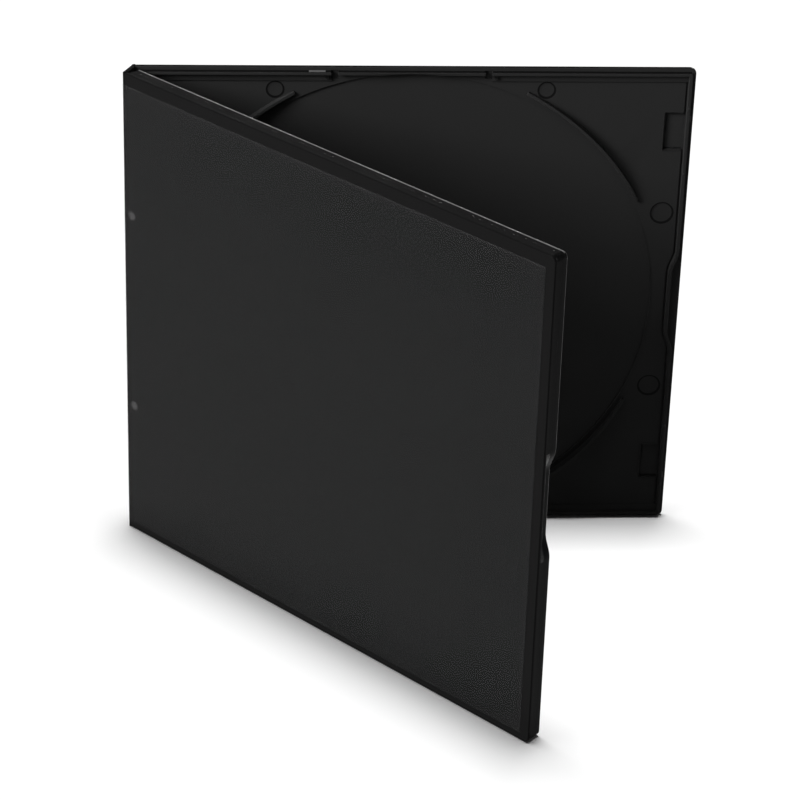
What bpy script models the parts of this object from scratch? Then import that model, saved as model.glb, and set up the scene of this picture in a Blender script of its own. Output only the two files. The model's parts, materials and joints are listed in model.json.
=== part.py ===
"""Slim disc case of black polypropylene, standing half open on its bottom edges.

The tray, the spine and the cover are one moulding, joined by two living hinges, and a clear
film sleeve wraps the outside. Each piece is drawn as it is moulded, laid flat: X runs across
the case, Y up its height and Z from its outer face into it. The tray lies on the +X side of
its hinge, the spine and the cover on the -X side of theirs. Parenting then folds the three up
about their hinges and stands them on the table, with +Z up and the origin in the middle of
the tray's bottom edge. All lengths are in metres.
"""

import math

import bmesh
import bpy
from mathutils import Matrix

MM = 0.001

# The whole case
CASE_WIDTH = 134.5 * MM
CASE_HEIGHT = 125 * MM
CASE_DEPTH = 5.4 * MM
PANEL = 1.0 * MM
CORNER_RADIUS = 1.5 * MM
EDGE_ROUND = 0.25 * MM

# How far each hinge is opened from the closed case, in degrees
SPINE_OPENING = 25.5
COVER_OPENING = 20.7

# The living hinges: the web is the thin land beside each groove, the groove has 45 degree sides
HINGE_GAP = 0.45 * MM
WEB = 0.3 * MM
SPINE_PANEL = 1.0 * MM
SPINE_CLEARANCE = 0.3 * MM

# The cover's wall
WALL_INNER = 0.8 * MM
WALL_DRAFT = 0.05 * MM
WALL_STEP = 0.12 * MM
WALL_STEP_DEPTH = 2.35 * MM
WALL_ROUND = 0.28 * MM
LANDING_GAP = 0.1 * MM
NEST_GAP = 0.15 * MM

# The tray's rib, the groove at its foot on the opening side and the low ledges on the long sides
RIB = 0.85 * MM
RIB_HEIGHT = 1.2 * MM
RIB_DISC_GAP = 0.25 * MM
RIB_ROUND = 0.15 * MM
FOOT_GROOVE = 0.5 * MM
FOOT_GROOVE_DEPTH = 0.35 * MM
LEDGE_HEIGHT = 0.3 * MM
LEDGE_END = 3.5 * MM
LEDGE_START = 6.0 * MM
LEDGE_OPEN_HALF = 19.0 * MM
LEDGE_DISC_GAP = 0.5 * MM

# The thumb notch in the middle of the opening side
NOTCH_DEPTH = 1.5 * MM
NOTCH_HALF = 14.0 * MM
NOTCH_FLAT_HALF = 8.0 * MM

# The disc's seat: a shallow well, four guide arcs, a seat ring and a rosette of springy fingers
WELL_HINGE_MARGIN = 5.3 * MM
WELL_OPENING_MARGIN = 7.4 * MM
WELL_END_MARGIN = 1.6 * MM
WELL_DEPTH = 0.25 * MM
RIM_TOP = 0.15 * MM
RIM_HEIGHT = 0.2 * MM
ARC_GAP = 1.2 * MM
ARC_WIDTH = 0.8 * MM
ARC_HEIGHT = 2.2 * MM
ARC_END_SHARE = 0.35
ARC_START = 26.3
ARC_END = 63.5
SEAT_OUTER = 17.0 * MM
SEAT_WIDTH = 2.4 * MM
SEAT_HEIGHT = 1.0 * MM
SEAT_ROUND = 0.2 * MM
DISC_HOLE_RADIUS = 7.5 * MM
DISC_THICKNESS = 1.2 * MM
HUB_PLAY = 0.2 * MM
HUB_BEAD = 0.3 * MM
HUB_LIP = 0.7 * MM
FINGER = 1.5 * MM
FINGER_LEAN = 1.2 * MM
FINGER_COUNT = 10
FINGER_SLOT = 0.9 * MM
FINGER_SLOT_REACH = 9.5 * MM
HUB_HOLE_RADIUS = 3.9 * MM

# Snap beads on the rib, and what stands beside the ones on the long sides
BEAD_PROUD = 0.3 * MM
BEAD_LIFT = 0.7 * MM
BEAD_CLEARANCE = 0.1 * MM
BEAD_LENGTH = 3.95 * MM
BEAD_AT = 22.6 * MM
STOP_WIDTH = 0.9 * MM
STOP_DEEP = 1.1 * MM
STOP_HEIGHT = 0.8 * MM
RELIEF_WIDTH = 1.75 * MM
RELIEF_SPACE = 0.45 * MM
RELIEF_DEEP = 1.2 * MM
RELIEF_SINK = 0.35 * MM
SIDE_BEAD_LENGTH = 1.8 * MM
SIDE_BEAD_FROM_END = 12.9 * MM
NUB_RADIUS = 0.35 * MM
NUBS_FROM_END = (10.1 * MM, 27.3 * MM)

# Latch pads beside the rib on the opening side, each with a low lip and a groove round three sides
PAD_FAR = 6.8 * MM
PAD_NEAR = 2.0 * MM
PAD_LENGTH = 9.6 * MM
PAD_FROM_END = 11.7 * MM
PAD_SINK = 0.5 * MM
PAD_LIP = 0.3 * MM
PAD_LIP_HEIGHT = 0.15 * MM
PAD_LIP_SHORT = 0.6 * MM
GROOVE = 0.3 * MM
GROOVE_FLOOR = 0.25 * MM
GROOVE_INSET = 0.06 * MM
GROOVE_HOOK = 0.25 * MM
GROOVE_HOOK_LENGTH = 4.0 * MM

# Round marks that the moulding tool's ejector pins leave
MARK_DEPTH = 0.3 * MM
MARK_SLOPE = 0.5 * MM
END_MARK_RADIUS = 2.3 * MM
END_MARK_X = 32.5 * MM
END_MARK_FROM_END = 5.9 * MM
SIDE_MARK_RADIUS = 3.0 * MM
SIDE_MARK_PAST_WELL = 1.5 * MM
SIDE_MARK_Y = 24.1 * MM

# The clear film sleeve
FILM = 0.15 * MM
FILM_GAP = 0.15 * MM
FILM_HINGE_GAP = 0.6 * MM
FILM_TOP_MARGIN = 3.0 * MM
FILM_BOTTOM_MARGIN = 2.0 * MM
FILM_SIDE_MARGIN = 2.4 * MM

# How finely round shapes are drawn, and how far a tool sinks into or passes through a body
CORNER_STEPS = 6
ROUND_STEPS = 1
NOTCH_STEPS = 8
ARC_STEPS = 14
WELL_SIDES = 128
TURNED_STEPS = 60
SMALL_SIDES = 20
BAR_SIDES = 12
SINK = 0.4 * MM
PAST = 1.0 * MM
SKIM = 0.02 * MM
MERGE = 0.001 * MM
SMOOTH_BELOW = math.radians(35)

# What follows from those sizes
MID = CASE_HEIGHT / 2
STRIP = WALL_INNER + NEST_GAP
WALL_TIP = CASE_DEPTH - PANEL - LANDING_GAP
WALL_START = SPINE_PANEL + SPINE_CLEARANCE
WELL_ROOM = CASE_WIDTH - WELL_HINGE_MARGIN - WELL_OPENING_MARGIN
WELL_RADIUS = min(WELL_ROOM / 2, MID - WELL_END_MARGIN)
DISC_X = WELL_HINGE_MARGIN + WELL_RADIUS
WELL_FLOOR = PANEL - WELL_DEPTH
SEAT_TOP = WELL_FLOOR + SEAT_HEIGHT
DISC_CENTRE = (DISC_X, MID)


def clear_scene():
    """Empty the scene of whatever it held."""
    for item in list(bpy.data.objects):
        bpy.data.objects.remove(item)


def make_collection(name):
    """A collection in the scene."""
    collection = bpy.data.collections.new(name)
    bpy.context.scene.collection.children.link(collection)
    return collection


clear_scene()
CASE = make_collection("vcd_case")
TOOLS = make_collection("tools")


def plastic(name, colour, roughness, alpha=1.0):
    """A Principled material of one colour."""
    material = bpy.data.materials.new(name)
    material.use_nodes = True
    shader = material.node_tree.nodes["Principled BSDF"]
    shader.inputs["Base Color"].default_value = (*colour, 1.0)
    shader.inputs["Metallic"].default_value = 0.0
    shader.inputs["Roughness"].default_value = roughness
    shader.inputs["Alpha"].default_value = alpha
    return material


def add_object(name, mesh):
    """A new object in the tools collection."""
    item = bpy.data.objects.new(name, mesh)
    TOOLS.objects.link(item)
    return item


def arc(centre, radius, start, end, steps):
    """Points along an arc, from one angle in degrees to another."""
    points = []
    for step in range(steps + 1):
        angle = math.radians(start + (end - start) * step / steps)
        points.append((centre[0] + radius * math.cos(angle), centre[1] + radius * math.sin(angle)))
    return points


def notched_edge(x, depth):
    """The opening edge's S bends, upwards, in to the thumb notch and out of it again."""
    lower = []
    for step in range(NOTCH_STEPS + 1):
        share = step / NOTCH_STEPS
        inward = depth * (1 - math.cos(math.pi * share)) / 2
        lower.append((x - inward, MID - NOTCH_HALF + share * (NOTCH_HALF - NOTCH_FLAT_HALF)))
    return lower + [(px, 2 * MID - py) for px, py in reversed(lower)]


def half_outline(inset, start, notch=0.0):
    """Outline of one half of the case, from the hinge side at start, this far inside its edges."""
    radius = max(CORNER_RADIUS - inset, RIB_ROUND * 2)
    edge = CASE_WIDTH - inset
    top = CASE_HEIGHT - inset
    points = [(start, inset)]
    points += arc((edge - radius, inset + radius), radius, -90, 0, CORNER_STEPS)
    if notch:
        points += notched_edge(edge, notch)
    points += arc((edge - radius, top - radius), radius, 0, 90, CORNER_STEPS)
    points.append((start, top))
    return points


def plates(name, outlines, low, high, side=1, rounding=0.0):
    """Flat outlines given a thickness from low to high, with rounded edges. A nested one is a hole."""
    curve = bpy.data.curves.new(name, "CURVE")
    curve.dimensions = "2D"
    curve.fill_mode = "BOTH"
    curve.extrude = (high - low) / 2 - rounding
    curve.bevel_depth = rounding
    curve.bevel_resolution = ROUND_STEPS
    curve.offset = -rounding
    for outline in outlines:
        spline = curve.splines.new("POLY")
        spline.points.add(len(outline) - 1)
        for point, (x, y) in zip(spline.points, outline):
            point.co = (side * x, y, 0.0, 1.0)
        spline.use_cyclic_u = True
    drawn = add_object(name + "_outline", curve)
    drawn.location.z = (low + high) / 2
    bpy.context.view_layer.update()
    graph = bpy.context.evaluated_depsgraph_get()
    mesh = bpy.data.meshes.new_from_object(drawn.evaluated_get(graph))
    weld(mesh)
    item = add_object(name, mesh)
    item.matrix_world = drawn.matrix_world
    bpy.data.objects.remove(drawn)
    apply_placement(item)
    return item


def weld(mesh):
    """Join the loose caps of a mesh made from a curve, and face it outwards."""
    soft = bmesh.new()
    soft.from_mesh(mesh)
    bmesh.ops.remove_doubles(soft, verts=soft.verts, dist=MERGE)
    bmesh.ops.recalc_face_normals(soft, faces=soft.faces)
    soft.to_mesh(mesh)
    soft.free()


def apply_placement(item):
    """Write an object's placement into its mesh."""
    item.data.transform(item.matrix_world)
    item.matrix_world = Matrix.Identity(4)


def prism(name, section, low, high, side=1):
    """A section drawn in X and Z, run up the case's height from low to high."""
    item = plates(name, [section], -high, -low, side)
    item.data.transform(Matrix.Rotation(math.radians(90), 4, "X"))
    return item


def solid(name, build):
    """An object whose mesh is built by the given function."""
    soft = bmesh.new()
    build(soft)
    bmesh.ops.recalc_face_normals(soft, faces=soft.faces)
    mesh = bpy.data.meshes.new(name)
    soft.to_mesh(mesh)
    soft.free()
    return add_object(name, mesh)


def blocks(name, spans):
    """Boxes, each given by its two far corners."""

    def build(soft):
        for low, high in spans:
            middle = [(a + b) / 2 for a, b in zip(low, high)]
            size = [abs(b - a) for a, b in zip(low, high)]
            place = Matrix.Translation(middle) @ Matrix.Diagonal((*size, 1.0))
            bmesh.ops.create_cube(soft, size=1.0, matrix=place)

    return solid(name, build)


def drums(name, centres, radius, low, high, sides, foot=None):
    """Upright cylinders from low to high, or cones with a foot of another radius."""

    def build(soft):
        for x, y in centres:
            bmesh.ops.create_cone(
                soft,
                cap_ends=True,
                segments=sides,
                radius1=foot or radius,
                radius2=radius,
                depth=high - low,
                matrix=Matrix.Translation((x, y, (low + high) / 2)),
            )

    return solid(name, build)


def bars(name, middles, radius, length, along, z):
    """Cylinders that lie along the X or the Y axis."""
    turn = Matrix.Rotation(math.radians(90), 4, "Y" if along == "X" else "X")

    def build(soft):
        for x, y in middles:
            bmesh.ops.create_cone(
                soft,
                cap_ends=True,
                segments=BAR_SIDES,
                radius1=radius,
                radius2=radius,
                depth=length,
                matrix=Matrix.Translation((x, y, z)) @ turn,
            )

    return solid(name, build)


def combine(body, tool, operation):
    """Join a tool to a body or cut it out, merge corners that all but meet, and let the tool
    follow the body."""
    tool.parent = body
    tool.hide_render = True
    tool.display_type = "WIRE"
    modifier = body.modifiers.new(tool.name, "BOOLEAN")
    modifier.operation = operation
    modifier.solver = "EXACT"
    modifier.object = tool
    merge = body.modifiers.new(tool.name + "_merge", "WELD")
    merge.merge_threshold = MERGE


def cut(body, tool):
    """Cut the tool out of the body."""
    combine(body, tool, "DIFFERENCE")


def join(body, tool):
    """Join the tool to the body."""
    combine(body, tool, "UNION")


def finish(item, material, parent):
    """Move a finished piece to the case's collection, with its material and what it hangs on."""
    TOOLS.objects.unlink(item)
    CASE.objects.link(item)
    item.data.materials.clear()
    item.data.materials.append(material)
    item.data.shade_smooth()
    item.data.set_sharp_from_angle(angle=SMOOTH_BELOW)
    item.parent = parent


def hinge_groove(name, side):
    """What the hinge side of a half lacks: the web's land, the groove's slope and the space
    that the closed spine takes up beside the wall."""
    slope_end = max(WALL_START, HINGE_GAP + PANEL - WEB)
    section = [
        (-PAST * 2, -PAST),
        (HINGE_GAP, -PAST),
        (HINGE_GAP, WEB),
        (slope_end, WEB + slope_end - HINGE_GAP),
        (slope_end, CASE_DEPTH + PAST),
        (-PAST * 2, CASE_DEPTH + PAST),
    ]
    return prism(name, section, -PAST, CASE_HEIGHT + PAST, side)


def mirrored(points):
    """Each offset from the middle of the disc, in all four quarters."""
    return [(sx * x, sy * y) for x, y in points for sx in (-1, 1) for sy in (-1, 1)]


def from_disc(offsets):
    """Offsets from the middle of the disc as places on the tray."""
    return [(DISC_X + x, MID + y) for x, y in offsets]


def end_bead_places():
    """Middles of the snap beads on the rib's two long sides, at its outer face."""
    return from_disc(mirrored([(BEAD_AT, MID - STRIP)]))


def side_bead_places():
    """Middles of the snap beads on the rib's opening side, at its outer face."""
    return [(CASE_WIDTH - STRIP, MID + way * (MID - SIDE_BEAD_FROM_END)) for way in (-1, 1)]


def make_rib():
    """The rib that the cover's wall nests round, thinned where the disc's well reaches it."""
    outer = half_outline(STRIP, 0, NOTCH_DEPTH)
    inner = half_outline(STRIP + RIB, 0, NOTCH_DEPTH)
    crest = PANEL + RIB_HEIGHT
    rib = plates("rib", [outer + inner[::-1]], PANEL - SINK, crest, rounding=RIB_ROUND)
    radius = WELL_RADIUS + RIB_DISC_GAP
    cut(rib, drums("rib_thinning", [DISC_CENTRE], radius, 0, crest + PAST, WELL_SIDES))
    return rib


def make_foot_groove():
    """The groove that follows the rib's foot, and the thumb notch, along the opening side."""
    outer = notched_edge(CASE_WIDTH - STRIP - RIB / 2, NOTCH_DEPTH)
    inner = notched_edge(CASE_WIDTH - STRIP - RIB - FOOT_GROOVE, NOTCH_DEPTH)
    for edge in (outer, inner):
        x = edge[0][0]
        edge.insert(0, (x, LEDGE_END / 2))
        edge.append((x, CASE_HEIGHT - LEDGE_END / 2))
    return plates("foot_groove", [outer + inner[::-1]], PANEL - FOOT_GROOVE_DEPTH, PANEL + PAST)


def make_ledges():
    """The low ledges at the rib's foot along the long sides, open round the disc."""
    top = PANEL + LEDGE_HEIGHT
    spans = []
    left = (LEDGE_START, DISC_X - LEDGE_OPEN_HALF)
    right = (DISC_X + LEDGE_OPEN_HALF, CASE_WIDTH - STRIP - RIB / 2)
    for near, far in (left, right):
        for way in (-1, 1):
            inside = MID + way * (MID - LEDGE_END)
            outside = MID + way * (MID - STRIP - RIB / 2)
            low, high = sorted((inside, outside))
            spans.append(((near, low, PANEL - SINK), (far, high, top)))
    ledges = blocks("ledges", spans)
    radius = WELL_RADIUS + LEDGE_DISC_GAP
    cut(ledges, drums("ledge_opening", [DISC_CENTRE], radius, 0, top + PAST, WELL_SIDES))
    return ledges


def arc_share(x, y):
    """How high a guide arc is at a place on it, as a share of its height in the middle."""
    angle = math.degrees(math.atan2(abs(y - MID), abs(x - DISC_X)))
    away = abs(2 * angle - ARC_START - ARC_END) / (ARC_END - ARC_START)
    return 1 - (1 - ARC_END_SHARE) * away**2


def make_guide_arcs():
    """Four ridges, lower towards their ends, that keep the disc in the middle of its well."""
    inner = WELL_RADIUS + ARC_GAP
    outer = inner + ARC_WIDTH
    outlines = []
    for start in (ARC_START, 180 - ARC_END, 180 + ARC_START, 360 - ARC_END):
        end = start + ARC_END - ARC_START
        ridge = arc(DISC_CENTRE, outer, start, end, ARC_STEPS)
        ridge += arc(DISC_CENTRE, inner, end, start, ARC_STEPS)
        outlines.append(ridge)
    ridges = plates("guide_arcs", outlines, PANEL - SINK, PANEL + ARC_HEIGHT, rounding=RIB_ROUND)
    for vertex in ridges.data.vertices:
        if vertex.co.z > PANEL:
            rise = (vertex.co.z - PANEL) * arc_share(vertex.co.x, vertex.co.y)
            vertex.co.z = PANEL + rise
    return ridges


def make_seat_ring():
    """The ring round the hub that the disc rests on."""
    outer = arc(DISC_CENTRE, SEAT_OUTER, 0, 360, TURNED_STEPS)[:-1]
    inner = arc(DISC_CENTRE, SEAT_OUTER - SEAT_WIDTH, 0, 360, TURNED_STEPS)[:-1]
    return plates("seat_ring", [outer, inner], WELL_FLOOR - SINK, SEAT_TOP, rounding=SEAT_ROUND)


def make_fingers():
    """The rosette before it is slotted: a turned collar that leans in, with a bead over the disc."""
    neck = DISC_HOLE_RADIUS - HUB_PLAY
    disc_top = SEAT_TOP + DISC_THICKNESS
    tip = disc_top + HUB_LIP
    profile = [
        (neck - FINGER_LEAN, tip),
        (neck - HUB_BEAD, tip - HUB_LIP / 4),
        (neck + HUB_BEAD, disc_top + HUB_BEAD),
        (neck, disc_top),
        (neck, SEAT_TOP),
        (neck + HUB_PLAY, WELL_FLOOR - SINK),
        (neck - FINGER, WELL_FLOOR - SINK),
        (neck - FINGER, SEAT_TOP),
        (neck - FINGER - FINGER_LEAN, tip - HUB_LIP / 2),
    ]
    mesh = bpy.data.meshes.new("fingers")
    edges = [(i, (i + 1) % len(profile)) for i in range(len(profile))]
    mesh.from_pydata([(x, 0.0, z) for x, z in profile], edges, [])
    collar = add_object("fingers", mesh)
    collar.location = (*DISC_CENTRE, 0.0)
    screw = collar.modifiers.new("turned", "SCREW")
    screw.angle = math.radians(360)
    screw.steps = TURNED_STEPS
    screw.render_steps = TURNED_STEPS
    screw.use_merge_vertices = True
    screw.merge_threshold = MM / 100
    return collar


def make_finger_slots():
    """Slots between the fingers, through the floor, so that each one can bend."""
    near = HUB_HOLE_RADIUS - FINGER_SLOT / 2

    def build(soft):
        for index in range(FINGER_COUNT):
            turn = Matrix.Rotation(math.radians(360 * index / FINGER_COUNT), 4, "Z")
            reach = Matrix.Translation(((near + FINGER_SLOT_REACH) / 2, 0.0, CASE_DEPTH / 2))
            size = (FINGER_SLOT_REACH - near, FINGER_SLOT, CASE_DEPTH + 2 * PAST, 1.0)
            place = Matrix.Translation((*DISC_CENTRE, 0.0)) @ turn @ reach @ Matrix.Diagonal(size)
            bmesh.ops.create_cube(soft, size=1.0, matrix=place)

    return solid("finger_slots", build)


def add_snaps(tray):
    """Snap beads, the stops and relief pockets beside them, and small nubs on the rib's crest."""
    lift = PANEL + BEAD_LIFT
    join(tray, bars("end_beads", end_bead_places(), BEAD_PROUD, BEAD_LENGTH, "X", lift))
    join(tray, bars("side_beads", side_bead_places(), BEAD_PROUD, SIDE_BEAD_LENGTH, "Y", lift))
    stops = []
    reliefs = []
    stop_at = BEAD_AT - BEAD_LENGTH / 2 - STOP_WIDTH / 2
    relief_at = stop_at - STOP_WIDTH / 2 - RELIEF_SPACE - RELIEF_WIDTH / 2
    for way_x in (-1, 1):
        for way_y in (-1, 1):
            rib_inner = MID + way_y * (MID - STRIP - RIB / 2)
            stop_end = MID + way_y * (MID - STRIP - RIB - STOP_DEEP)
            low, high = sorted((rib_inner, stop_end))
            x = DISC_X + way_x * stop_at
            left, right = x - STOP_WIDTH / 2, x + STOP_WIDTH / 2
            stops.append(((left, low, PANEL - SINK), (right, high, PANEL + STOP_HEIGHT)))
            x = DISC_X + way_x * relief_at
            outside = MID + way_y * (MID - STRIP + NEST_GAP / 2)
            inside = MID + way_y * (MID - STRIP - RIB - RELIEF_DEEP)
            low, high = sorted((inside, outside))
            left, right = x - RELIEF_WIDTH / 2, x + RELIEF_WIDTH / 2
            foot = PANEL - RELIEF_SINK
            reliefs.append(((left, low, foot), (right, high, PANEL + RIB_HEIGHT + PAST)))
    join(tray, blocks("stops", stops))
    cut(tray, blocks("relief_pockets", reliefs))
    crest = PANEL + RIB_HEIGHT
    x = CASE_WIDTH - STRIP - RIB / 2
    places = [(x, MID + way * (MID - place)) for place in NUBS_FROM_END for way in (-1, 1)]

    def build(soft):
        for x, y in places:
            matrix = Matrix.Translation((x, y, crest - NUB_RADIUS / 4))
            bmesh.ops.create_uvsphere(
                soft, u_segments=BAR_SIDES, v_segments=BAR_SIDES // 2, radius=NUB_RADIUS, matrix=matrix
            )

    join(tray, solid("nubs", build))


def add_latch_pads(tray):
    """A sunk pad beside the rib at each end of the opening side, with a low lip and a groove
    round three sides."""
    far = CASE_WIDTH - PAD_FAR
    near = CASE_WIDTH - PAD_NEAR
    lips = []
    pads = []
    grooves = []
    for way in (-1, 1):
        outer_end = MID + way * (MID - PAD_FROM_END)
        low, high = sorted((outer_end, outer_end - way * PAD_LENGTH))
        lip = (far - PAD_LIP, low - PAD_LIP, PANEL - SINK)
        lips.append((lip, (near - PAD_LIP_SHORT, high + PAD_LIP, PANEL + PAD_LIP_HEIGHT)))
        pads.append(((far, low, PANEL - PAD_SINK), (near, high, PANEL + PAST)))
        low, high = low + GROOVE_INSET, high - GROOVE_INSET
        left, right = far + GROOVE_INSET, near - GROOVE
        hooked = left + GROOVE + GROOVE_HOOK
        hook_low = high - GROOVE - GROOVE_HOOK_LENGTH
        outline = [(right, low), (left, low), (left, high), (right, high)]
        outline += [(right, high - GROOVE), (hooked, high - GROOVE)]
        outline += [(hooked, hook_low), (left + GROOVE, hook_low - GROOVE_HOOK)]
        outline += [(left + GROOVE, low + GROOVE), (right, low + GROOVE)]
        grooves.append(outline)
    join(tray, blocks("pad_lips", lips))
    cut(tray, blocks("latch_pads", pads))
    cut(tray, plates("pad_grooves", grooves, GROOVE_FLOOR, PANEL + PAST / 2))


def dishes(name, offsets, radius):
    """Shallow round dishes with sloping sides, at these offsets from the middle of the disc."""
    low = PANEL - MARK_DEPTH
    foot = radius - MARK_SLOPE
    return drums(name, from_disc(offsets), radius, low, PANEL + SKIM, SMALL_SIDES, foot)


def make_tray(material, frame):
    """The back half, with the disc's seat in it. Its inner side is the one that shows."""
    tray = plates("tray", [half_outline(0, 0)], 0, PANEL, rounding=EDGE_ROUND)
    top = PANEL + RIM_HEIGHT
    radius = WELL_RADIUS + RIM_TOP
    foot = radius + RIM_HEIGHT + SINK
    join(tray, drums("well_rim", [DISC_CENTRE], radius, PANEL - SINK, top, WELL_SIDES, foot))
    cut(tray, drums("well", [DISC_CENTRE], WELL_RADIUS, WELL_FLOOR, PANEL + PAST, WELL_SIDES))
    cut(tray, make_foot_groove())
    join(tray, make_ledges())
    join(tray, make_rib())
    join(tray, make_guide_arcs())
    join(tray, make_seat_ring())
    join(tray, make_fingers())
    cut(tray, drums("hub_hole", [DISC_CENTRE], HUB_HOLE_RADIUS, -PAST, WELL_FLOOR + PAST, TURNED_STEPS))
    cut(tray, make_finger_slots())
    add_snaps(tray)
    add_latch_pads(tray)
    ends = mirrored([(END_MARK_X, MID - END_MARK_FROM_END)])
    cut(tray, dishes("end_marks", ends, END_MARK_RADIUS))
    sides = [(WELL_RADIUS + SIDE_MARK_PAST_WELL, way * SIDE_MARK_Y) for way in (-1, 1)]
    cut(tray, dishes("side_marks", sides, SIDE_MARK_RADIUS))
    cut(tray, hinge_groove("tray_groove", 1))
    finish(tray, material, frame)
    return tray


def make_spine(material, frame):
    """The strip between the two hinges, with the grooves' slopes on both its long edges."""
    inner = SPINE_PANEL - WEB + HINGE_GAP
    section = [
        (-HINGE_GAP, 0),
        (-HINGE_GAP, WEB),
        (-inner, SPINE_PANEL),
        (inner - CASE_DEPTH, SPINE_PANEL),
        (HINGE_GAP - CASE_DEPTH, WEB),
        (HINGE_GAP - CASE_DEPTH, 0),
    ]
    spine = prism("spine", section, 0, CASE_HEIGHT)
    finish(spine, material, frame)
    spine.rotation_euler.y = math.radians(90 - SPINE_OPENING)
    return spine


def make_cover(material, spine):
    """The front half: a pan whose wall stands round the tray's rib."""
    side = -1
    cover = plates("cover", [half_outline(0, 0)], 0, PANEL, side, EDGE_ROUND)
    upper = half_outline(WALL_DRAFT, -PAST / 2, NOTCH_DEPTH)
    join(cover, plates("wall_foot", [upper], PANEL / 2, WALL_STEP_DEPTH, side, WALL_STEP / 2))
    lower = half_outline(WALL_DRAFT + WALL_STEP, -PAST, NOTCH_DEPTH)
    overlap = WALL_STEP_DEPTH - SINK - WALL_ROUND
    join(cover, plates("wall_rim", [lower], overlap, WALL_TIP, side, WALL_ROUND))
    inside = half_outline(WALL_INNER, -PAST * 3 / 2, NOTCH_DEPTH)
    cut(cover, plates("cover_hollow", [inside], PANEL, WALL_TIP + PAST, side))
    radius = BEAD_PROUD + BEAD_CLEARANCE
    depth = CASE_DEPTH - PANEL - BEAD_LIFT
    ends = [(side * x, y) for x, y in end_bead_places()]
    length = BEAD_LENGTH + 2 * BEAD_CLEARANCE
    cut(cover, bars("end_bead_seats", ends, radius, length, "X", depth))
    sides = [(side * x, y) for x, y in side_bead_places()]
    length = SIDE_BEAD_LENGTH + 2 * BEAD_CLEARANCE
    cut(cover, bars("side_bead_seats", sides, radius, length, "Y", depth))
    cut(cover, hinge_groove("cover_groove", side))
    finish(cover, material, spine)
    cover.location.x = -CASE_DEPTH
    cover.rotation_euler.y = math.radians(90 - COVER_OPENING)
    return cover


def make_film(name, near, far, material, carrier):
    """One face of the film sleeve, lying just outside the panel that carries it."""
    top = CASE_HEIGHT - FILM_TOP_MARGIN
    outline = [(near, FILM_BOTTOM_MARGIN), (far, FILM_BOTTOM_MARGIN), (far, top), (near, top)]
    film = plates(name, [outline], -FILM_GAP - FILM, -FILM_GAP)
    finish(film, material, carrier)


def main():
    """Make the case and fold it up as it stands in the photograph."""
    frame = bpy.data.objects.new("case_frame", None)
    CASE.objects.link(frame)
    frame.location = (-CASE_WIDTH / 2, PANEL / 2, 0.0)
    frame.rotation_euler.x = math.radians(90)
    black = (0.012, 0.012, 0.013)
    tray = make_tray(plastic("black polypropylene, tray", black, 0.5), frame)
    spine = make_spine(plastic("black polypropylene, spine", black, 0.45), frame)
    cover = make_cover(plastic("black polypropylene, cover", black, 0.45), spine)
    clear = plastic("clear film", (0.9, 0.9, 0.9), 0.15, 0.25)
    reach = CASE_WIDTH - FILM_SIDE_MARGIN
    make_film("film_back", FILM_HINGE_GAP, reach, clear, tray)
    make_film("film_spine", FILM_HINGE_GAP - CASE_DEPTH, -FILM_HINGE_GAP, clear, spine)
    make_film("film_front", -reach, -FILM_HINGE_GAP, clear, cover)


main()
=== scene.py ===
"""Looks of the slim disc case: the finishes of its black moulding, its two living hinges and the
clear film sleeve round the outside. Lengths are in metres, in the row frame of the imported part.

New pieces are drawn as the case is moulded, laid flat: X runs across it, with the tray from 0 up,
the spine below 0 and the cover beyond the spine, Y runs up its height, and Z from its outer face
inwards. Then they are folded as the case stands.
"""

import json
import math

import bmesh
import bpy
from mathutils import Matrix, Vector


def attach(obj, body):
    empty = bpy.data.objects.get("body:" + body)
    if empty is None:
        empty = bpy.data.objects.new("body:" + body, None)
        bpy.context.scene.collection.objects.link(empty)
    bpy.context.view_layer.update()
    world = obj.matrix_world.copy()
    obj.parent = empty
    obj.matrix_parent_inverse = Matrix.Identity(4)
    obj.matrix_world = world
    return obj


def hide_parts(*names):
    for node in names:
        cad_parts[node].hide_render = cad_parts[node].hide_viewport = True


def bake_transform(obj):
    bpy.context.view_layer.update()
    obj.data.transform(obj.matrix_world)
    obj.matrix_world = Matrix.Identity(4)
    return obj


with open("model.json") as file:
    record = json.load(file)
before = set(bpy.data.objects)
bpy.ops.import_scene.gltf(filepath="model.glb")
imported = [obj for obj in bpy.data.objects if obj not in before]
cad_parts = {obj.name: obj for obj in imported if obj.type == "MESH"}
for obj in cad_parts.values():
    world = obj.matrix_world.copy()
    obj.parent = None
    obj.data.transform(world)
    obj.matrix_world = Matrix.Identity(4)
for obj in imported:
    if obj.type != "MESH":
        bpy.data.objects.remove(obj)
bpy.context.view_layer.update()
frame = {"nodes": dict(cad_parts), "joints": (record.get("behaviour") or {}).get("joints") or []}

MM = 0.001

# Sizes that the solids have too
CASE_WIDTH = 134.5 * MM
CASE_HEIGHT = 125.0 * MM
CASE_DEPTH = 5.4 * MM
PANEL = 1.0 * MM
HINGE_GAP = 0.45 * MM
WEB = 0.3 * MM
RIM_WIDTH = 0.95 * MM
MID = CASE_HEIGHT / 2
WELL_RADIUS = 60.9 * MM
DISC_X = 66.2 * MM
LIP_DEPTH = 4.3 * MM
BEAD_AT = 22.6 * MM
BEAD_LENGTH = 3.95 * MM
FILM_TOP_MARGIN = 3.0 * MM
FILM_BOTTOM_MARGIN = 2.0 * MM
FILM_SIDE_MARGIN = 2.4 * MM

# Round marks on the tray, placed from the middle of the disc
END_MARK = (32.5 * MM, MID - 5.9 * MM)
END_MARK_RADIUS = 2.3 * MM
SIDE_MARK = (WELL_RADIUS + 1.5 * MM, 24.1 * MM)
SIDE_MARK_RADIUS = 3.0 * MM
MARK_SLOPE = 0.5 * MM

# How far each hinge is folded as the case stands, from lying flat
SPINE_FOLD, COVER_FOLD = (math.radians(joint["range_deg"][1]) for joint in frame["joints"])

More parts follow.
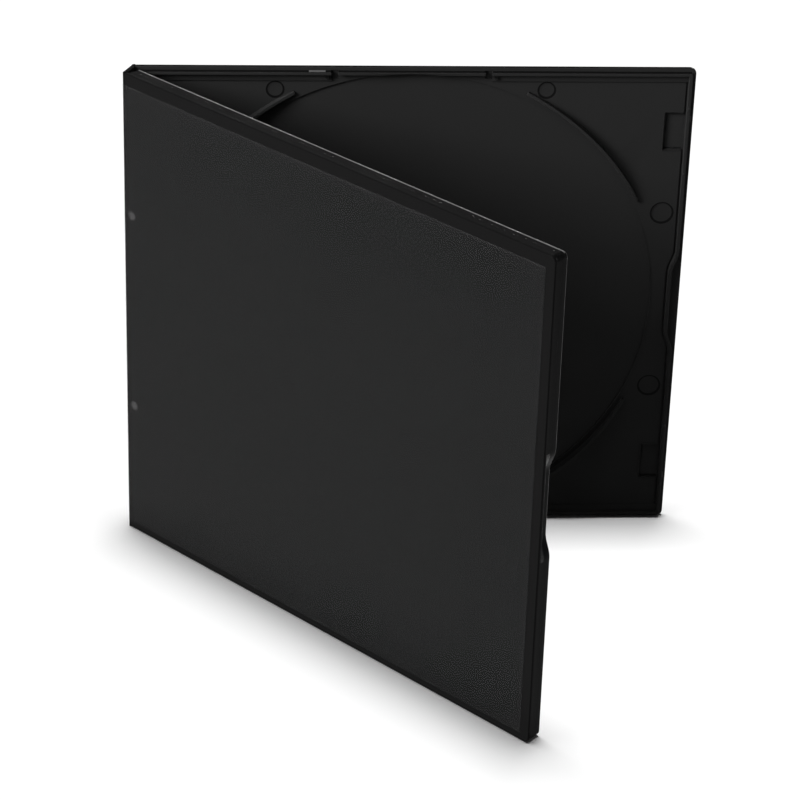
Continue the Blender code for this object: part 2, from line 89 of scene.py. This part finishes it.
# Half of the stretch over which the film and a web bend
BEND = 0.9 * MM

# Webs of the living hinges, a little into the panels and a hair inside their faces
WEB_STEPS = 12
WEB_OVERLAP = 0.12 * MM
WEB_SHY = 0.01 * MM

# The film, with the cells of its mesh
FILM = 0.1 * MM
FILM_LIFT = 0.15 * MM
FILM_CELL = 1.0 * MM

# Soft waves of the film: their height, their pace across and up, and how far they snake
WAVE_LIFT = 0.05 * MM
WAVE_ACROSS = 17 * MM
WAVE_UP = 31 * MM
WAVE_SNAKE = 2.1

# A crease, a long soft fold and two tack spots on the cover's film, measured from the cover's hinge
CREASE = ((114 * MM, 78 * MM), (129 * MM, 66 * MM))
CREASE_WIDTH = 1.3 * MM
CREASE_LIFT = 0.12 * MM
SOFT_FOLD = ((8 * MM, 27 * MM), (106 * MM, 68 * MM))
SOFT_FOLD_WIDTH = 2.5 * MM
SOFT_FOLD_LIFT = 0.06 * MM
TACKS = ((2.9 * MM, 88.5 * MM), (2.9 * MM, 36.2 * MM))
TACK_WIDTH = 1.1 * MM
TACK_LIFT = 0.1 * MM
TACK_SOFTNESS = 0.3
HEM = 0.5 * MM
HEM_PALENESS = 0.3

# How far the painted highlight along the lip's top reaches from the lip and from the case's top, and how
# far it is full
LIP_HIGHLIGHT_REACH = 0.7 * MM
LIP_HIGHLIGHT_FULL = 0.56 * MM
TOP_HIGHLIGHT_REACH = 0.5 * MM
TOP_HIGHLIGHT_FULL = 0.3 * MM

# Polypropylene, and the flow clouds in its finish: their size, how much of the noise they take and
# how far they move the roughness
POLYPROPYLENE_IOR = 1.49
GRAIN_DETAIL = 2.0
CLOUD = 14 * MM
CLOUD_DETAIL = 3.0
CLOUD_NOISE = (0.3, 0.7)
CLOUD_SPREAD = 0.15

# Places of the finishes in the lists of materials
TRAY_MATT, TRAY_SATIN_AND_SLOPE_SHADE, TRAY_RUBBED_AND_HIGHLIT = range(3)
COVER_SATIN, COVER_MATT = range(2)

# Which way a face looks: how much of its normal points into the case
LOOKS_IN = 0.9
LOOKS_ALONG = 0.5
LOOKS_OUT = -0.5
LOOKS_SLOPING = (0.1, 0.97)

# Allowances in telling where a face is, and how far over the panel the snap beads start
NEAR = 0.1 * MM
HAIR = 0.01 * MM
BEAD_FOOT = 0.3 * MM

# Clean-up and shading of the moulding's mesh
MERGE = 0.001 * MM
FLAT_WITHIN = math.radians(0.2)
SHARP_FROM = math.radians(35)
FLAT_WEIGHT = 80

# Colour sockets of a Mix node
MIX_A, MIX_B, MIXED = 6, 7, 2

# Heights between which the white surround turns dim, how dim it is overhead, and its stray light
SURROUND_LOW = 0.1
SURROUND_HIGH = 0.25
SURROUND_OVERHEAD = 0.12
SURROUND_STRAY = 0.05
FLOOR_HALF = 3.0

# The camera, fitted to measured edge points of the photograph
CAMERA_YAW = 4.025
CAMERA_PITCH = 29.161
CAMERA_ROLL = 1.856
CAMERA_DISTANCE = 812.28 * MM
CAMERA_TARGET = (65.964 * MM - CASE_WIDTH / 2, PANEL / 2, 33.683 * MM)
FOCAL_PIXELS = 3224.04
FRAME_PIXELS = 800
SENSOR = 36.0


def linear(text):
    """Linear colour of a hex sRGB one."""
    values = []
    for start in (1, 3, 5):
        share = int(text[start : start + 2], 16) / 255
        values.append(share / 12.92 if share <= 0.04045 else ((share + 0.055) / 1.055) ** 2.4)
    return (*values, 1.0)


def add(tree, kind, settings=None, links=None):
    """A node with its settings, and links to its inputs from other nodes' outputs."""
    node = tree.nodes.new(kind)
    for key, value in (settings or {}).items():
        if isinstance(key, int) or key in node.inputs:
            node.inputs[key].default_value = value
        else:
            setattr(node, key, value)
    for key, output in (links or {}).items():
        tree.links.new(output, node.inputs[key])
    return node


def new_material(name):
    """A material with its node tree and its shader."""
    material = bpy.data.materials.new(name)
    material.use_nodes = True
    tree = material.node_tree
    return material, tree, tree.nodes["Principled BSDF"]


def moulded_polypropylene(name, colour, roughness, specular, grain, depth):
    """Black polypropylene as it leaves its mould: a fine even grain that takes the gloss off, a
    little cloudiness where the melt has flowed, and no colour of its own. The real grain is about
    0.05 mm and too fine to show, so it is drawn some ten times coarser."""
    material, tree, shader = new_material(name)
    shader.inputs["Base Color"].default_value = linear(colour)
    shader.inputs["Specular IOR Level"].default_value = specular
    shader.inputs["IOR"].default_value = POLYPROPYLENE_IOR
    place = add(tree, "ShaderNodeTexCoord").outputs["Object"]
    settings = {"Scale": 1 / grain, "Detail": GRAIN_DETAIL}
    grains = add(tree, "ShaderNodeTexNoise", settings, {"Vector": place})
    settings = {"Scale": 1 / CLOUD, "Detail": CLOUD_DETAIL}
    clouds = add(tree, "ShaderNodeTexNoise", settings, {"Vector": place})
    settings = {
        "From Min": CLOUD_NOISE[0],
        "From Max": CLOUD_NOISE[1],
        "To Min": roughness * (1 - CLOUD_SPREAD),
        "To Max": roughness * (1 + CLOUD_SPREAD),
    }
    spread = add(tree, "ShaderNodeMapRange", settings, {"Value": clouds.outputs["Fac"]})
    tree.links.new(spread.outputs["Result"], shader.inputs["Roughness"])
    settings = {"Strength": 1.0, "Distance": depth}
    bump = add(tree, "ShaderNodeBump", settings, {"Height": grains.outputs["Fac"]})
    tree.links.new(bump.outputs["Normal"], shader.inputs["Normal"])
    return material


def paint_lip_highlight(material):
    """Painted highlight: a paler grey along the top of the cover's lip draws a bright line there."""
    tree = material.node_tree
    shader = tree.nodes["Principled BSDF"]
    cover = case_place(1, 1)
    inward = cover.to_3x3() @ Vector((0, 0, 1))
    lip = inward.dot(cover @ Vector((0, 0, LIP_DEPTH)))
    place = add(tree, "ShaderNodeTexCoord").outputs["Object"]
    settings = {"operation": "DOT_PRODUCT", 1: inward}
    depth = add(tree, "ShaderNodeVectorMath", settings, {0: place}).outputs["Value"]
    settings = {"From Min": lip - LIP_HIGHLIGHT_REACH, "From Max": lip - LIP_HIGHLIGHT_FULL}
    near_lip = add(tree, "ShaderNodeMapRange", settings, {"Value": depth}).outputs["Result"]
    height = add(tree, "ShaderNodeSeparateXYZ", {}, {"Vector": place}).outputs["Z"]
    settings = {"From Min": CASE_HEIGHT - TOP_HIGHLIGHT_REACH, "From Max": CASE_HEIGHT - TOP_HIGHLIGHT_FULL}
    near_top = add(tree, "ShaderNodeMapRange", settings, {"Value": height}).outputs["Result"]
    both = add(tree, "ShaderNodeMath", {"operation": "MULTIPLY"}, {0: near_lip, 1: near_top})
    # The paler grey mixed in near the lip's top is a painted highlight
    settings = {
        "data_type": "RGBA",
        MIX_A: shader.inputs["Base Color"].default_value,
        MIX_B: linear("#8a8a8a"),
    }
    colour = add(tree, "ShaderNodeMix", settings, {"Factor": both.outputs[0]})
    tree.links.new(colour.outputs[MIXED], shader.inputs["Base Color"])


def clear_film():
    """Clear cast polypropylene film, 0.1 mm: it hardly hides the black behind it, and its gloss
    adds a thin grey veil with soft waves. It is painted paler along the cut hem at its top, and
    paler at the two spots where it is tacked, as a painted highlight on the small bumps there."""
    material, tree, shader = new_material("clear cast polypropylene film")
    place = add(tree, "ShaderNodeTexCoord").outputs["Object"]
    height = add(tree, "ShaderNodeSeparateXYZ", {}, {"Vector": place}).outputs["Z"]
    top = CASE_HEIGHT - FILM_TOP_MARGIN
    settings = {"From Min": top - HEM, "From Max": top, "To Max": HEM_PALENESS}
    paleness = add(tree, "ShaderNodeMapRange", settings, {"Value": height}).outputs["Result"]
    for across, up in TACKS:
        centre = case_place(1, 1) @ Vector((-CASE_DEPTH - across, up, -FILM_LIFT))
        settings = {"operation": "DISTANCE", 1: centre}
        away = add(tree, "ShaderNodeVectorMath", settings, {0: place}).outputs["Value"]
        settings = {
            "From Min": TACK_WIDTH * (1 + TACK_SOFTNESS),
            "From Max": TACK_WIDTH * (1 - TACK_SOFTNESS),
        }
        spot = add(tree, "ShaderNodeMapRange", settings, {"Value": away}).outputs["Result"]
        paleness = add(tree, "ShaderNodeMath", {"operation": "MAXIMUM"}, {0: paleness, 1: spot}).outputs[0]
    # Paler grey along the top hem, and at the tack spots as a painted highlight on the bumps there
    settings = {"data_type": "RGBA", MIX_A: linear("#484848"), MIX_B: linear("#d0d0d0")}
    colour = add(tree, "ShaderNodeMix", settings, {"Factor": paleness})
    tree.links.new(colour.outputs[MIXED], shader.inputs["Base Color"])
    shader.inputs["Roughness"].default_value = 0.22
    shader.inputs["IOR"].default_value = POLYPROPYLENE_IOR
    shader.inputs["Alpha"].default_value = 0.07
    return material


def case_place(spine, cover):
    """Place of the case laid flat, with shares of the two hinges' folds."""
    upright = Matrix.Rotation(math.radians(90), 4, "X")
    place = Matrix.Translation((-CASE_WIDTH / 2, PANEL / 2, 0)) @ upright
    place = place @ Matrix.Rotation(spine * SPINE_FOLD, 4, "Y")
    place = place @ Matrix.Translation((-CASE_DEPTH, 0, 0)) @ Matrix.Rotation(cover * COVER_FOLD, 4, "Y")
    return place @ Matrix.Translation((CASE_DEPTH, 0, 0))


def bent(past):
    """Share of a hinge's fold that a place past its line has taken."""
    share = min(max((BEND + past) / (2 * BEND), 0), 1)
    return share * share * (3 - 2 * share)


def folded(point):
    """Where a point of the case laid flat goes when both hinges are folded as they stand."""
    return case_place(bent(-point[0]), bent(-point[0] - CASE_DEPTH)) @ Vector(point)


def show(name, shape, material):
    """A finished mesh as an object of the scene."""
    mesh = bpy.data.meshes.new(name)
    shape.to_mesh(mesh)
    shape.free()
    mesh.materials.append(material)
    item = bpy.data.objects.new(name, mesh)
    bpy.context.scene.collection.objects.link(item)
    return item


def smooth(piece):
    """Smooth shading up to the sharp edges."""
    piece.data.shade_smooth()
    piece.data.set_sharp_from_angle(angle=SHARP_FROM)


def on_slope(x, y, centre, radius):
    """Whether a place lies on the sloping side of a round mark."""
    return abs(math.hypot(x - centre[0], y - centre[1]) - radius + MARK_SLOPE / 2) < MARK_SLOPE / 2


def tray_finish(place, inward):
    """Which of the tray's three finishes a face has: matt within, satin on the rim and the back, the
    darker satin on the slopes of the round marks as painted shade, and on the snap beads a pale
    finish that is partly wear and partly a painted highlight."""
    x, y, height = place
    side, end = x - DISC_X, abs(y - MID)
    on_bead = abs(abs(side) - BEAD_AT) < BEAD_LENGTH / 2 and end > MID - RIM_WIDTH + HAIR
    # The snap beads' pale finish is partly wear and partly a painted highlight
    if on_bead and height > PANEL + BEAD_FOOT:
        return TRAY_RUBBED_AND_HIGHLIT
    # The darker satin on the slopes of the round marks is painted shade inside the marks
    on_end_mark = on_slope(abs(side), end, END_MARK, END_MARK_RADIUS)
    on_side_mark = on_slope(side, end, SIDE_MARK, SIDE_MARK_RADIUS)
    if (on_end_mark or on_side_mark) and LOOKS_SLOPING[0] < inward < LOOKS_SLOPING[1]:
        return TRAY_SATIN_AND_SLOPE_SHADE
    from_edge = min(x, CASE_WIDTH - x, MID - end)
    on_rim = inward < LOOKS_ALONG and from_edge < RIM_WIDTH + NEAR
    return TRAY_SATIN_AND_SLOPE_SHADE if inward < LOOKS_OUT or on_rim else TRAY_MATT


def cover_finish(place, inward):
    """Which of the cover's two finishes a face has: satin, and matt on the panel's inner face."""
    return COVER_MATT if inward > LOOKS_IN and place.z < PANEL + NEAR else COVER_SATIN


def dress(node, body, materials, folds=(0, 0), finish=None):
    """The node's own shape, welded so that its roundings shade smoothly and its flat faces stay
    flat. Each face takes the finish of its place in the case laid flat."""
    shape = bmesh.new()
    shape.from_mesh(frame["nodes"][node].data)
    bmesh.ops.remove_doubles(shape, verts=shape.verts, dist=MERGE)
    bmesh.ops.dissolve_limit(shape, angle_limit=FLAT_WITHIN, verts=shape.verts, edges=shape.edges)
    if finish:
        laid_flat = case_place(*folds).inverted()
        for face in shape.faces:
            inward = (laid_flat.to_3x3() @ face.normal).z
            face.material_index = finish(laid_flat @ face.calc_center_median(), inward)
    piece = show(node + "_moulding", shape, materials[0])
    for material in materials[1:]:
        piece.data.materials.append(material)
    smooth(piece)
    weights = piece.modifiers.new("flat faces stay flat", "WEIGHTED_NORMAL")
    weights.mode = "FACE_AREA"
    weights.weight = FLAT_WEIGHT
    weights.keep_sharp = True
    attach(piece, body)
    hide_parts(node)
    return piece


def make_web(name, middle, material):
    """The thin web of one living hinge, bent as the hinge stands."""
    reach = HINGE_GAP + WEB_OVERLAP
    shape = bmesh.new()
    place = Matrix.Translation((middle, MID, WEB / 2))
    place = place @ Matrix.Diagonal((2 * reach, CASE_HEIGHT - 2 * WEB_SHY, WEB - 2 * WEB_SHY, 1))
    bmesh.ops.create_cube(shape, size=1.0, matrix=place)
    along = [e for e in shape.edges if abs(e.verts[0].co.x - e.verts[1].co.x) > reach]
    bmesh.ops.subdivide_edges(shape, edges=along, cuts=WEB_STEPS, use_grid_fill=True)
    for vert in shape.verts:
        vert.co = folded(vert.co)
    bmesh.ops.recalc_face_normals(shape, faces=shape.faces)
    piece = show(name, shape, material)
    smooth(piece)
    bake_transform(piece)
    return piece


def flat_grid(low, high, columns, rows):
    """A flat grid between two corners of the case laid flat."""
    shape = bmesh.new()
    size = (high[0] - low[0], high[1] - low[1])
    place = Matrix.Translation(((low[0] + high[0]) / 2, (low[1] + high[1]) / 2, 0))
    place = place @ Matrix.Diagonal((size[0] / 2, size[1] / 2, 1, 1))
    bmesh.ops.create_grid(shape, x_segments=columns, y_segments=rows, size=1.0, matrix=place)
    return shape


def off_line(place, ends):
    """Distance of a place from a straight line between two others."""
    start, end = (Vector(p) for p in ends)
    along = end - start
    share = min(max((place - start).dot(along) / along.length_squared, 0), 1)
    return (place - start - share * along).length


def swell(away, width):
    """Height of a soft swelling at a distance from its crest, as a share of its full height."""
    return math.exp(-((away / width) ** 2))


def film_waves(x, y):
    """How far the film stands off the panel beyond its least lift: soft waves all over, and on the
    cover a crease near the opening side, a long soft fold and two spots where it is tacked."""
    lift = WAVE_LIFT * (1 + math.sin(x / WAVE_ACROSS + WAVE_SNAKE * math.sin(y / WAVE_UP)))
    on_cover = Vector((-CASE_DEPTH - x, y))
    lift += CREASE_LIFT * swell(off_line(on_cover, CREASE), CREASE_WIDTH)
    lift += SOFT_FOLD_LIFT * swell(off_line(on_cover, SOFT_FOLD), SOFT_FOLD_WIDTH)
    for tack in TACKS:
        lift += TACK_LIFT * swell((on_cover - Vector(tack)).length, TACK_WIDTH)
    return lift


def make_sleeve(name, low, high, nodes, material):
    """One part of the film sleeve, between two places across the case laid flat. It bends at one
    hinge, and stands for the film's solids that are named."""
    bottom, top = FILM_BOTTOM_MARGIN, CASE_HEIGHT - FILM_TOP_MARGIN
    columns, rows = (round(length / FILM_CELL) for length in (high - low, top - bottom))
    shape = flat_grid((low, bottom), (high, top), columns, rows)
    for vert in shape.verts:
        vert.co.z = -FILM_LIFT - film_waves(vert.co.x, vert.co.y)
    bmesh.ops.solidify(shape, geom=shape.faces[:], thickness=FILM)
    for vert in shape.verts:
        vert.co = folded(vert.co)
    bmesh.ops.recalc_face_normals(shape, faces=shape.faces)
    # The faces of the film's cut edge are made in no set order, so all are sorted here
    in_order = sorted(shape.faces, key=lambda face: tuple(face.calc_center_median()))
    for index, face in enumerate(in_order):
        face.index = index
    shape.faces.sort()
    piece = show(name, shape, material)
    smooth(piece)
    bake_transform(piece)
    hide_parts(*nodes)
    return piece


def make_case():
    """The moulding's three stiff parts, the webs between them and the film round them."""
    # A finely blasted mould for the outside: a deep black with a soft narrow sheen. Its gloss is
    # low, because the object hardly shines in the photograph.
    satin = {
        "colour": "#1c1c1c",
        "roughness": 0.16,
        "specular": 0.02,
        "grain": 0.5 * MM,
        "depth": 0.0008 * MM,
    }
    outside = moulded_polypropylene("satin moulded polypropylene", **satin)
    # The paler line along the top of the cover's lip is a painted highlight
    lip_highlighted = moulded_polypropylene("satin moulded polypropylene with a painted lip highlight", **satin)
    paint_lip_highlight(lip_highlighted)
    # A spark-eroded mould for the inside: its deeper grain scatters the light, so the same black
    # looks like an even dark grey
    inside = moulded_polypropylene(
        "matt moulded polypropylene",
        colour="#3a3a3a",
        roughness=0.5,
        specular=0.04,
        grain=0.6 * MM,
        depth=0.02 * MM,
    )
    # The snap beads, worn glossier by the cover's wall each time that the case shuts. Their pale grey
    # is partly that wear and partly a painted highlight.
    rubbed_and_highlit = moulded_polypropylene(
        "rubbed moulded polypropylene",
        colour="#707070",
        roughness=0.3,
        specular=0.1,
        grain=0.6 * MM,
        depth=0.002 * MM,
    )
    film = clear_film()
    end = CASE_WIDTH - FILM_SIDE_MARGIN
    mid_spine = -CASE_DEPTH / 2
    return [
        dress("tray", "tray", [inside, outside, rubbed_and_highlit], (0, 0), tray_finish),
        dress("spine", "spine", [outside]),
        dress("cover", "cover", [lip_highlighted, inside], (1, 1), cover_finish),
        make_web("tray_hinge_web", 0, outside),
        make_web("cover_hinge_web", -CASE_DEPTH, outside),
        make_sleeve("film_sleeve_back", mid_spine, end, ["film_back"], film),
        make_sleeve(
            "film_sleeve_front",
            -CASE_DEPTH - end,
            mid_spine,
            ["film_spine", "film_front"],
            film,
        ),
    ]


def seen_directly(tree):
    """1 for what the eye sees itself, in a gloss or through a clear thing, and 0 for stray light."""
    rays = add(tree, "ShaderNodeLightPath").outputs
    links = {0: rays["Is Camera Ray"], 1: rays["Is Glossy Ray"]}
    either = add(tree, "ShaderNodeMath", {"operation": "MAXIMUM"}, links)
    links = {0: either.outputs[0], 1: rays["Is Transmission Ray"]}
    return add(tree, "ShaderNodeMath", {"operation": "MAXIMUM"}, links).outputs[0]


def make_surround():
    """A white surround that is dim overhead, where the glossy case would mirror it. Little of it
    reaches the case as stray light, so that the black stays black."""
    world = bpy.data.worlds.new("pale surround")
    bpy.context.scene.world = world
    world.use_nodes = True
    tree = world.node_tree
    tree.nodes.clear()
    way = add(tree, "ShaderNodeTexCoord").outputs["Generated"]
    height = add(tree, "ShaderNodeSeparateXYZ", {}, {"Vector": way}).outputs["Z"]
    settings = {
        "interpolation_type": "SMOOTHSTEP",
        "From Min": SURROUND_LOW,
        "From Max": SURROUND_HIGH,
        "To Min": 1.0,
        "To Max": SURROUND_OVERHEAD,
    }
    seen = add(tree, "ShaderNodeMapRange", settings, {"Value": height}).outputs["Result"]
    links = {"Value": seen_directly(tree), "To Max": seen}
    strength = add(tree, "ShaderNodeMapRange", {"To Min": SURROUND_STRAY}, links).outputs["Result"]
    settings = {"Color": linear("#ffffff")}
    surround = add(tree, "ShaderNodeBackground", settings, {"Strength": strength})
    add(tree, "ShaderNodeOutputWorld", {}, {"Surface": surround.outputs[0]})


def make_floor():
    """A plain painted floor, white to the eye and dark to stray light."""
    material, tree, shader = new_material("matt painted floor")
    settings = {"data_type": "RGBA", MIX_A: linear("#303030"), MIX_B: linear("#ffffff")}
    colour = add(tree, "ShaderNodeMix", settings, {"Factor": seen_directly(tree)})
    tree.links.new(colour.outputs[MIXED], shader.inputs["Base Color"])
    shader.inputs["Roughness"].default_value = 0.9
    shader.inputs["Specular IOR Level"].default_value = 0.0
    shape = bmesh.new()
    bmesh.ops.create_grid(shape, x_segments=1, y_segments=1, size=FLOOR_HALF)
    floor = show("floor", shape, material)
    return floor


def soft_light(name, place, target, size, power, height=None):
    """A soft box aimed at a target, square or with a height of its own."""
    lamp = bpy.data.lights.new(name, "AREA")
    lamp.shape = "RECTANGLE"
    lamp.size = size
    lamp.size_y = height or size
    lamp.energy = power
    item = bpy.data.objects.new(name, lamp)
    bpy.context.scene.collection.objects.link(item)
    item.location = place
    item.rotation_mode = "QUATERNION"
    item.rotation_quaternion = (Vector(target) - Vector(place)).to_track_quat("-Z", "Y")
    return item


def light_only(lights, name, items):
    """Let these lights reach only these things."""
    reached = bpy.data.collections.new(name)
    for item in items:
        reached.objects.link(item)
    for light in lights:
        light.light_linking.receiver_collection = reached


def make_lights(floor, pieces):
    """A soft box over the floor, which gives the case its shadow, and five round the case."""
    top = soft_light("top light", (-0.034, 0.076, 2.4), (-0.034, 0.076, 0), size=0.5, power=60.0)
    light_only([top], "floor only", [floor])
    lights = [
        soft_light("front light", (-0.9, -1.05, 0.5), (0, -0.03, 0.05), size=0.7, power=2.0),
        soft_light("left light", (-0.9, -0.45, 0.6), (0, 0, 0.07), size=0.4, power=8.7),
        soft_light("high left light", (-0.6, -0.44, 0.95), (0, 0, 0.07), size=0.5, power=2.2),
        soft_light("fill light", (1.3, 0.35, 0.5), (0, -0.03, 0.06), size=0.5, power=4.0),
        soft_light("back light", (0.2, 1.6, 0.22), (0, 0, 0.1), size=1.4, power=25.0, height=0.12),
    ]
    light_only(lights, "case only", pieces)


def make_camera():
    """The camera at the photograph's place."""
    yaw, pitch, roll = (math.radians(a) for a in (CAMERA_YAW, CAMERA_PITCH, CAMERA_ROLL))
    ahead = Vector((math.sin(yaw) * math.cos(pitch), math.cos(yaw) * math.cos(pitch), -math.sin(pitch)))
    level = Vector((math.cos(yaw), -math.sin(yaw), 0))
    above = level.cross(ahead)
    right = math.cos(roll) * level + math.sin(roll) * above
    above = -math.sin(roll) * level + math.cos(roll) * above
    lens = bpy.data.cameras.new("camera")
    lens.sensor_width = SENSOR
    lens.lens = FOCAL_PIXELS / FRAME_PIXELS * SENSOR
    lens.clip_start = 10 * MM
    item = bpy.data.objects.new("camera", lens)
    bpy.context.scene.collection.objects.link(item)
    turn = Matrix((right, above, -ahead)).transposed()
    place = Matrix.Translation(Vector(CAMERA_TARGET) - CAMERA_DISTANCE * ahead)
    item.matrix_world = place @ turn.to_4x4()
    bpy.context.scene.camera = item


pieces = make_case()
make_surround()
make_lights(make_floor(), pieces)
make_camera()
bpy.context.scene.view_settings.view_transform = "Standard"
